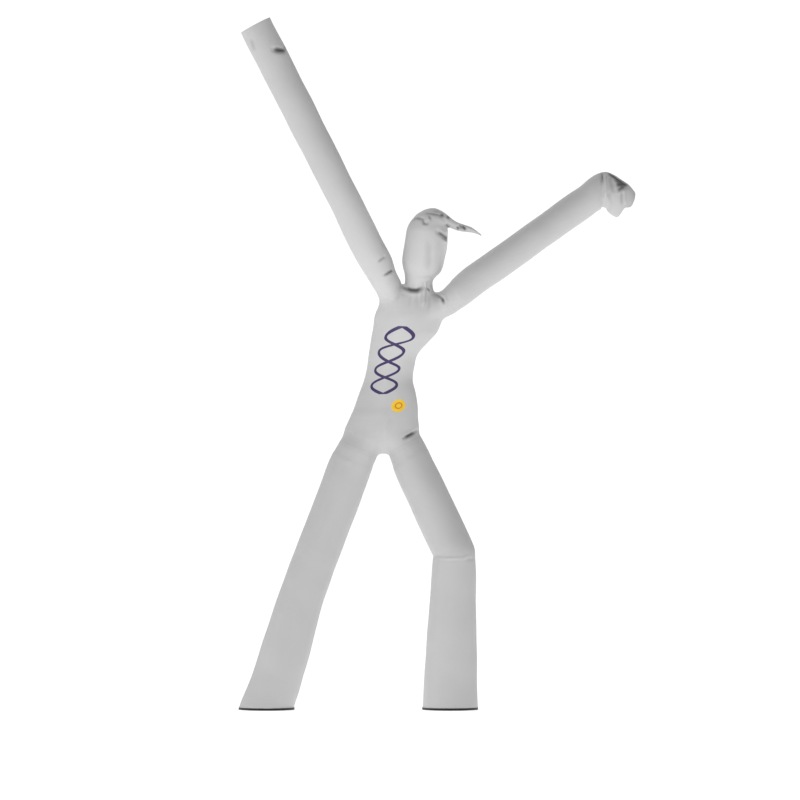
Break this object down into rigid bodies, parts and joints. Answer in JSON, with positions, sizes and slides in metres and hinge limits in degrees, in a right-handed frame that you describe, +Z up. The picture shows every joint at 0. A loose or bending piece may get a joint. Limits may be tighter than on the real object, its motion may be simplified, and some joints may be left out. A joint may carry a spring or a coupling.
{
  "type": "inflatable air dancer",
  "caption": "Two-legged inflatable dancer of thin nylon: open feet, waving arm tubes and a domed head with a drooping pointed tip.",
  "frame": {"origin": "on the floor, under the middle of the dancer's overall width and depth", "axes": "+Z up, -Y out of the dancer's front, +X to the viewer's right when facing the front"},
  "size_m": [3.4478, 0.8436, 5.9966],
  "materials": {
    "nylon": "satin",
    "webbing": "matte"
  },
  "bodies": {
    "root": {"torso": "nylon", "left_leg": "nylon", "right_leg": "nylon", "left_arm": "nylon", "right_arm": "nylon", "head": "nylon", "left_foot_band": "webbing", "right_foot_band": "webbing"}
  },
  "joints": []
}
